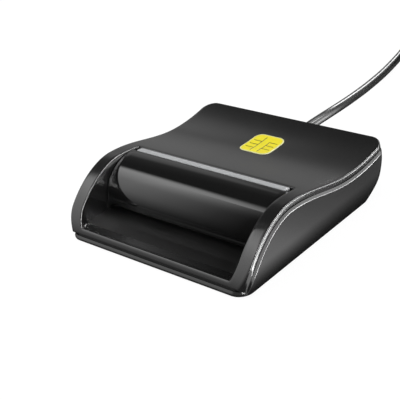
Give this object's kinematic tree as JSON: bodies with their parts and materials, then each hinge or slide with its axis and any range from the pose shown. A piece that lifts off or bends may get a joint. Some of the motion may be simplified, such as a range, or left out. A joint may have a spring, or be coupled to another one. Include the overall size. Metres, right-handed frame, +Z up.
{
  "type": "smart card reader",
  "caption": "Desktop smart card reader: wave-shaped black body with an open card bay between cheeks, a light bar, a chip emblem, sprung contacts and a coiled USB lead.",
  "frame": {"origin": "middle of the body's underside, on the table, without the lead", "axes": "+X to the right as seen from the card mouth, +Y from the mouth to the back where the lead leaves, +Z up"},
  "size_m": [0.07, 0.2362, 0.0194],
  "materials": {
    "cover": "satin black moulding with polished edges",
    "base": "fine-grained black moulding",
    "panel": "high gloss piano black",
    "light": "milky translucent light bar",
    "emblem": "bright yellow inlay with dark lines",
    "tray": "matt black moulding",
    "board": "green solder mask",
    "block": "black glass-filled plastic",
    "contact": "gold plated contacts",
    "lever": "white acetal",
    "chip": "black chip package",
    "can": "plated metal can",
    "led": "clear white package",
    "passive": "tan ceramic",
    "header": "ivory nylon",
    "wire": "coloured wire insulation",
    "rubber": "soft black sleeve",
    "screw": "zinc plated",
    "foot": "dark grey rubber",
    "label": "blank foil",
    "cord": "smooth black PVC jacket",
    "grip": "soft black overmould",
    "shell": "nickel plated steel",
    "tongue": "white insulator"
  },
  "bodies": {
    "reader": {"top_cover": "cover", "base_shell": "base", "front_panel": "panel", "light_bar": "light", "chip_emblem": "emblem", "card_tray": "tray", "circuit_board": "board", "contact_block": "block", "contact_tails": "contact", "card_switch": "block", "controller_chip": "chip", "crystal": "can", "status_leds": "led", "small_parts": "passive", "wire_header": "header", "wire_cores": "wire", "strain_relief": "rubber", "case_screws": "screw", "rubber_feet": "foot", "blank_label": "label", "cord_run": "cord", "cord_coil": "cord", "plug_grip": "grip", "plug_shell": "shell", "plug_tongue": "tongue", "plug_contacts": "contact"},
    "front_row": {"contact_row_front": "contact"},
    "back_row": {"contact_row_back": "contact"},
    "card_lever": {"switch_lever": "lever"}
  },
  "joints": [
    {"name": "front_row_lift", "type": "slide", "parent": "reader", "child": "front_row", "axis": [0, 0, 1], "range_m": [0, 0.0005], "stiffness_N_per_m": 800, "springref_m": -0.0005},
    {"name": "back_row_lift", "type": "slide", "parent": "reader", "child": "back_row", "axis": [0, 0, 1], "range_m": [0, 0.0005], "stiffness_N_per_m": 800, "springref_m": -0.0005},
    {"name": "switch_lever_turn", "type": "hinge", "parent": "reader", "child": "card_lever", "pos_m": [-0.01997, 0.0243, 0.0071], "axis": [1, 0, 0], "range_deg": [0, 15], "stiffness_Nm_per_rad": 0.004, "springref_deg": -5.73}
  ]
}
